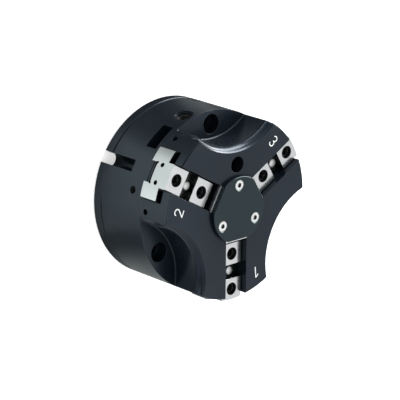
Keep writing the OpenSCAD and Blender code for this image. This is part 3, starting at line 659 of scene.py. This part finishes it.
class GripperStage(bpy.types.PropertyGroup):
    """Camera, floor and lights."""

    lens: FloatProperty(
        name="Lens", description="Focal length of the camera, in millimetres",
        default=186.9, min=20.0, max=400.0)
    floor_colour: FloatVectorProperty(
        name="Floor", description="Colour of the floor",
        subtype="COLOR", default=(0.90, 0.90, 0.90), min=0.0, max=1.0)
    mirrored_colour: FloatVectorProperty(
        name="Mirrored floor", description="Colour of the floor seen in the gripper's sheen",
        subtype="COLOR", default=(0.88, 0.965, 0.945), min=0.0, max=1.0)
    floor_glow: FloatProperty(
        name="Floor glow", description="Light that the floor adds where it is seen",
        default=0.5, min=0.0, max=1.0)
    reflection: FloatProperty(
        name="Reflection", description="Brightness of the room in reflections",
        default=0.72, min=0.0, max=2.0)
    dim_share: FloatProperty(
        name="Dim share", description="How much the dim parts of the mirrored room lose",
        subtype="FACTOR", default=0.92, min=0.0, max=1.0)
    room: FloatProperty(
        name="Room light", description="Strength of the even light from all round",
        default=0.8, min=0.0, max=2.0)
    lamp: FloatProperty(
        name="Lamps", description="Strength of the soft boxes",
        default=1.0, min=0.0, max=5.0)


# ---------- operators ----------


class BuildOperator(bpy.types.Operator):
    """Common ground of the builders."""

    bl_options = {"REGISTER", "UNDO"}

    @property
    def finish(self):
        return bpy.context.scene.gripper_finish

    @property
    def detail(self):
        return bpy.context.scene.gripper_detail


class GRIPPER_OT_body_finish(BuildOperator):
    """Give the body and its covers their black anodised finish"""

    bl_idname = "gripper.body_finish"
    bl_label = "Body finish"

    def execute(self, context):
        finish = self.finish
        body = black_anodised(BODY_MATERIAL, finish, finish.body_sheen)
        for node in ("housing", *(f"guide_block_{arm}" for arm in ARM_TURNS), "rear_cover"):
            dress(node, body)
        dress("front_cover", black_anodised("black_cover", finish, finish.cover_sheen, 0.0))
        return {"FINISHED"}


class GRIPPER_OT_steel_finish(BuildOperator):
    """Give the jaws, strips, pins, screws and the wedge hook their steel"""

    bl_idname = "gripper.steel_finish"
    bl_label = "Steel finish"

    def execute(self, context):
        finish = self.finish
        for arm, turn in ARM_TURNS.items():
            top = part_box(f"jaw_{arm}")[1].z
            threads = [MOUNTS[f"finger_thread_{arm}_{side}"] for side in ("inner", "outer")]
            # painted shade: each finger hole with its chamfer painted matt black
            holes = [(tuple(mount["pos_m"]), mount_size(mount, "r") + FINGER_CHAMFER + 0.2 * MM)
                     for mount in threads]
            dress(f"jaw_{arm}", ground_steel(f"ground_steel_{arm}", finish, turn, holes=holes,
                                             top=top))
            dress(f"slot_strip_{arm}", blued_strip(f"blued_strip_{arm}", finish, turn + 90.0))
        pins = ground_steel("pin_steel", finish, 0.0, 0.6, 0.2, 0.5)
        for arm in ARM_TURNS:
            dress(f"jaw_pin_{arm}", pins)
        dress("rear_cover_pins", pins)
        dress("wedge_hook", ground_steel("wedge_steel", finish, 0.0, 0.85))
        plated = plated_screw("plated_screw", finish)
        for node in ("front_cover_screws", "rear_cover_screws", "direct_port_screws",
                     "piston_screw"):
            dress(node, plated)
        dress("piston_disc", turned_aluminium("turned_aluminium", finish))
        return {"FINISHED"}


class GRIPPER_OT_seal_finish(BuildOperator):
    """Give the seals and the guide ring their rubber and plastic"""

    bl_idname = "gripper.seal_finish"
    bl_label = "Seal finish"

    def execute(self, context):
        rubber = soft_part("seal_rubber", self.finish.rubber, 0.55, self.finish)
        for node in ("piston_seal", "piston_oring", "rod_seal", "rear_cover_oring",
                     "direct_port_orings"):
            dress(node, rubber)
        dress("piston_guide_ring",
              soft_part("guide_plastic", self.finish.guide_plastic, 0.45, self.finish))
        return {"FINISHED"}


class GRIPPER_OT_jaw_threads(BuildOperator):
    """Cut the look of threads into the finger holes of each jaw"""

    bl_idname = "gripper.jaw_threads"
    bl_label = "Jaw threads"

    def execute(self, context):
        detail = self.detail
        # painted shade: finger threads nearly black, as the inside of the holes is in shade
        made = ground_steel("thread_steel", self.finish, 0.0, 0.15, 0.1, 2.0)
        for arm in ARM_TURNS:
            parts = []
            for side in ("inner", "outer"):
                mount = MOUNTS[f"finger_thread_{arm}_{side}"]
                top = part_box(f"jaw_{arm}")[1].z - FINGER_CHAMFER - mount["pos_m"][2]
                low = top - mount_size(mount, "length") + detail.finger_pitch * 0.5
                parts.append(thread_ridge(
                    mount["pos_m"], (0, 0, 1), mount_size(mount, "r"),
                    detail.finger_ridge, detail.finger_pitch, low,
                    top - detail.finger_pitch * 0.2, detail.thread_steps))
            points, faces = joined(parts)
            made_piece = piece(f"finger_threads_{arm}", points, faces, made, f"jaw_{arm}")
        return {"FINISHED"}


class GRIPPER_OT_scallop_walls(BuildOperator):
    """Line the scallops with their wall, from a steep chamfer to a fillet on the floor"""

    bl_idname = "gripper.scallop_walls"
    bl_label = "Scallop walls"
    rounding_points, fillet_points, sweep_points = 9, 7, 73

    def profile(self, radius, low, high):
        """Cross-section of the wall, as distances from the scallop's axis and heights.

        From the top: the chamfer, an arc that rounds it into the upright wall, and a quarter
        circle that rounds the wall into the floor. The back lies in the body.
        """
        detail = self.detail
        inner, fillet, sunk = radius - detail.wall_depth, detail.wall_fillet, detail.wall_sunk
        foot, turn = high - detail.wall_chamfer, detail.wall_rounding
        a = np.linspace(detail.wall_lean, 0.0, self.rounding_points)
        top = np.stack([inner + turn * (1.0 - np.cos(a)), foot + turn * np.sin(a)], 1)
        b = np.linspace(0.0, math.pi / 2.0, self.fillet_points)
        bottom = np.stack([inner - fillet * (1.0 - np.cos(b)),
                           low + fillet * (1.0 - np.sin(b))], 1)
        return np.concatenate([
            [[radius + sunk, high], [radius, high]], top, bottom,
            [[inner - fillet, low - sunk], [radius + sunk, low - sunk]]])

    def wall(self):
        """Points and faces of a wall whose scallop lies along +X.

        The cross-section is swept about the scallop's axis. Each of its points stops at the
        angle at which it comes out of the round body: the cosine rule gives it, in the
        triangle of the body's radius, the point's own and the distance between the axes.
        """
        detail = self.detail
        radius = detail.scallop_radius
        away = detail.scallop_reach + radius
        skin = 0.02 * MM  # how far the wall stays inside the body's outer face
        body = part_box("housing")[1].y - skin
        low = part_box("guide_block_1")[0].z - detail.slot_over_scallop
        rho, z = self.profile(radius, low, FRONT_Z - detail.scallop_rim).T
        end = np.arccos((rho ** 2 + away ** 2 - body ** 2) / (2.0 * rho * away))
        angle = np.pi + np.linspace(-1.0, 1.0, self.sweep_points)[:, None] * end
        x, y = away + rho * np.cos(angle), rho * np.sin(angle)
        return tube(np.stack([x, y, z + 0.0 * x], -1))

    def execute(self, context):
        points, faces = self.wall()
        made = bpy.data.materials[BODY_MATERIAL]
        for scallop, turn in SCALLOP_TURNS.items():
            cos, sin = math.cos(math.radians(turn)), math.sin(math.radians(turn))
            placed = points @ np.array([[cos, sin, 0.0], [-sin, cos, 0.0], [0.0, 0.0, 1.0]])
            wall = piece(f"scallop_wall_{scallop}", placed, outward(placed, faces), made,
                         "housing")
        return {"FINISHED"}


class GRIPPER_OT_body_threads(BuildOperator):
    """Cut the look of threads into the air ports of the body"""

    bl_idname = "gripper.body_threads"
    bl_label = "Body threads"

    def execute(self, context):
        # painted shade: port threads nearly black, as the inside of the ports is in shade
        made = ground_steel("port_thread", self.finish, 0.0, 0.12, 0.2, 1.5)
        ports = (("air_port_close", 0.9 * MM, 0.4 * MM), ("air_port_open", 0.9 * MM, 0.4 * MM),
                 ("purge_port", 0.8 * MM, 0.3 * MM))
        parts = []
        for name, pitch, height in ports:
            mount = MOUNTS[name]
            half = mount_size(mount, "length") / 2.0
            parts.append(thread_ridge(
                mount["pos_m"], mount["axis"], mount_size(mount, "r"), height, pitch,
                -half + pitch, half - 1.1 * pitch, self.detail.thread_steps))
        points, faces = joined(parts)
        piece("port_threads", points, faces, made, "housing")
        return {"FINISHED"}


class GRIPPER_OT_numerals(BuildOperator):
    """Engrave the arm numerals 1, 2 and 3 and fill them with white paint"""

    bl_idname = "gripper.numerals"
    bl_label = "Arm numerals"

    def strokes(self, digit):
        """Strokes of a numeral that is 1 high and centred on its middle."""
        if digit == 1:
            return [line((0.07, -0.43), (0.07, 0.43), 5), line((0.07, 0.43), (-0.17, 0.24), 4)]
        if digit == 2:
            bowl = arc((0.0, 0.19), 0.24, 165.0, -32.0)
            return [np.concatenate([bowl, line((0.16, 0.0), (-0.24, -0.42), 6)]),
                    line((-0.24, -0.43), (0.26, -0.43), 4)]
        return [arc((-0.01, 0.225), 0.21, 150.0, -88.0),
                arc((-0.01, -0.205), 0.23, 88.0, -152.0)]

    def execute(self, context):
        detail = self.detail
        made = marking_paint("numeral_paint", self.finish)
        depth, proud, step = 0.15 * MM, 0.02 * MM, 0.004 * MM
        for arm, turn in ARM_TURNS.items():
            a = math.radians(turn) + detail.numeral_turn
            b = math.radians(turn) + detail.numeral_lean
            place = np.array([math.cos(a), math.sin(a), 0.0]) * detail.numeral_circle
            up = np.array([math.cos(b), math.sin(b), 0.0])
            right = np.cross(up, [0.0, 0.0, 1.0])
            parts = []
            for count, path in enumerate(self.strokes(arm)):
                # each stroke a touch over the one before, so that no two faces coincide
                points, faces = stroke(path * detail.numeral_height, detail.numeral_stroke,
                                       -depth, proud + step * count)
                placed = (points[:, :1] * right + points[:, 1:2] * up + place
                          + np.array([0.0, 0.0, 1.0]) * (points[:, 2:] + FRONT_Z))
                parts.append((placed, outward(placed, faces)))
            points, faces = joined(parts)
            made_piece = piece(f"numeral_{arm}", points, faces, made, "housing", False)
        return {"FINISHED"}


class GRIPPER_OT_stage(BuildOperator):
    """Set up the floor, the soft light and the camera"""

    bl_idname = "gripper.stage"
    bl_label = "Stage"

    def execute(self, context):
        scene, stage = context.scene, context.scene.gripper_stage
        scene.view_settings.view_transform = "Standard"
        self.make_floor(scene, stage)
        self.make_room(scene, stage)
        self.make_lamps(scene, stage)
        self.make_camera(scene, stage)
        return {"FINISHED"}

    def seen(self, g):
        """Each 1 for the rays that show the ground: straight on, mirrored or through glass."""
        kinds = ("Is Camera Ray", "Is Glossy Ray", "Is Transmission Ray")
        camera, glossy, glass = (g.node("ShaderNodeLightPath", output=k) for k in kinds)
        return camera, glossy, glass

    def make_floor(self, scene, stage):
        made, g = material("pale_floor")
        camera, glossy, glass = self.seen(g)
        haze = g.noise(6.0, 2.0)
        glow = (camera + glass) * stage.floor_glow
        # seen in the gripper's sheen, the floor is bright or dim by its angle about the axis
        at = g.node("ShaderNodeTexCoord", output="Object")
        x, y = (g.node("ShaderNodeSeparateXYZ", {}, {"Vector": at}, output=k) for k in (0, 1))
        turn = y.maths("ARCTAN2", y, x) / (2.0 * math.pi) + 0.5
        stops = [(angle / 360.0 + 0.5, share) for angle, share in MIRRORED_FLOOR]
        share = g.node("ShaderNodeValToRGB", {"stops": stops}, {"Fac": turn})
        dim = 1.0 - glossy * (1.0 - share)
        pale = g.blend(haze, [c * 0.985 for c in stage.floor_colour], stage.floor_colour)
        pale = g.blend(glossy, pale, stage.mirrored_colour)
        from_below = g.node("ShaderNodeNewGeometry", output="Backfacing")
        g.surface(
            clear=from_below,
            Base_Color=g.blend(dim, (0.0, 0.0, 0.0), pale),
            Roughness=0.9,
            Emission_Color=g.blend(glow, (0.0, 0.0, 0.0), (1.0, 1.0, 1.0)),
            Emission_Strength=1.0,
        )
        rim = arc((0.0, 0.0), FLOOR_RADIUS, 0.0, 360.0, 97)[:-1]
        mesh = bpy.data.meshes.new("floor")
        mesh.from_pydata(np.c_[rim, np.full(len(rim), FLOOR_LEVEL)].tolist(), [],
                         [list(range(len(rim)))])
        mesh.materials.append(made)
        floor = bpy.data.objects.new("floor", mesh)
        scene.collection.objects.link(floor)

    def make_room(self, scene, stage):
        world = bpy.data.worlds.new("room")
        scene.world = world
        g = Graph(world)
        camera, glossy, glass = self.seen(g)
        shown = (camera + glass).clamped()
        plain = 1.0 - (shown + glossy).clamped()
        # the side of the room behind the camera is dim where it is mirrored
        towards = g.node("ShaderNodeTexCoord", output="Generated")
        facing = g.vector("DOT_PRODUCT", towards, tuple(CAMERA_AXES[2]))
        behind = ((facing - 0.55) * 2.8).clamped()
        mirrored = stage.reflection * (1.0 - behind * stage.dim_share)
        strength = shown + glossy * mirrored + plain * stage.room
        light = g.node("ShaderNodeBackground", {},
                       {"Color": (1.0, 1.0, 1.0, 1.0), "Strength": strength})
        g.node("ShaderNodeOutputWorld", {}, {"Surface": light})

    def make_lamps(self, scene, stage):
        """Soft boxes: name, place, size and strength. Each faces the middle of the gripper."""
        boxes = (
            ("top_box", (0.15, -0.15, 0.95), (0.8, 0.8), 2.5),
            ("rim_box", (0.62, 0.50, 0.27), (0.62, 0.40), 9.0),
            ("back_box", (-0.03, 0.87, 0.10), (0.75, 0.16), 1.5),
            ("side_box", (0.84, 0.22, 0.10), (0.50, 0.16), 1.8),
            ("left_box", (-0.75, 0.10, 0.55), (0.6, 0.5), 1.5),
        )
        middle = np.array([0.0, 0.0, 30.0 * MM])
        for name, place, size, power in boxes:
            light = bpy.data.lights.new(name, "AREA")
            light.shape, light.size, light.size_y = "RECTANGLE", *size
            light.energy = power * stage.lamp
            lamp = bpy.data.objects.new(name, light)
            lamp.matrix_world = matrix_of(axes_of(np.array(place) - middle), place)
            scene.collection.objects.link(lamp)

    def make_camera(self, scene, stage):
        data = bpy.data.cameras.new("camera")
        data.lens, data.sensor_width = stage.lens, 36.0  # both in millimetres
        data.clip_start, data.clip_end = 0.05, 20.0
        camera = bpy.data.objects.new("camera", data)
        camera.matrix_world = matrix_of(CAMERA_AXES, CAMERA_PLACE)
        scene.collection.objects.link(camera)
        scene.camera = camera


def matrix_of(rows, place):
    """World matrix of an object whose X, Y and Z axes are the rows, at a place."""
    made = np.eye(4)
    made[:3, :3] = np.array(rows).T
    made[:3, 3] = place
    return Matrix(made.tolist())


class GRIPPER_PT_panel(bpy.types.Panel):
    """Builders of the gripper's looks"""

    bl_label = "Three Jaw Gripper"
    bl_idname = "GRIPPER_PT_panel"
    bl_space_type = "VIEW_3D"
    bl_region_type = "UI"
    bl_category = "Gripper"

    def draw(self, context):
        layout = self.layout
        for operator in BUILDERS:
            layout.operator(operator.bl_idname)
        for group in (context.scene.gripper_finish, context.scene.gripper_detail,
                      context.scene.gripper_stage):
            box = layout.box()
            for name in group.bl_rna.properties.keys():
                if name not in ("rna_type", "name"):
                    box.prop(group, name)


BUILDERS = (
    GRIPPER_OT_body_finish,
    GRIPPER_OT_steel_finish,
    GRIPPER_OT_seal_finish,
    GRIPPER_OT_scallop_walls,
    GRIPPER_OT_jaw_threads,
    GRIPPER_OT_body_threads,
    GRIPPER_OT_numerals,
    GRIPPER_OT_stage,
)
GROUPS = {"gripper_finish": GripperFinish, "gripper_detail": GripperDetail,
          "gripper_stage": GripperStage}


def register():
    for made in (*GROUPS.values(), *BUILDERS, GRIPPER_PT_panel):
        bpy.utils.register_class(made)
    for name, group in GROUPS.items():
        setattr(bpy.types.Scene, name, PointerProperty(type=group))


def unregister():
    for name in GROUPS:
        delattr(bpy.types.Scene, name)
    for made in (GRIPPER_PT_panel, *reversed(BUILDERS), *reversed(GROUPS.values())):
        bpy.utils.unregister_class(made)


def main():
    register()
    for operator in BUILDERS:
        group, name = operator.bl_idname.split(".")
        getattr(getattr(bpy.ops, group), name)()


if __name__ == "__main__":
    main()
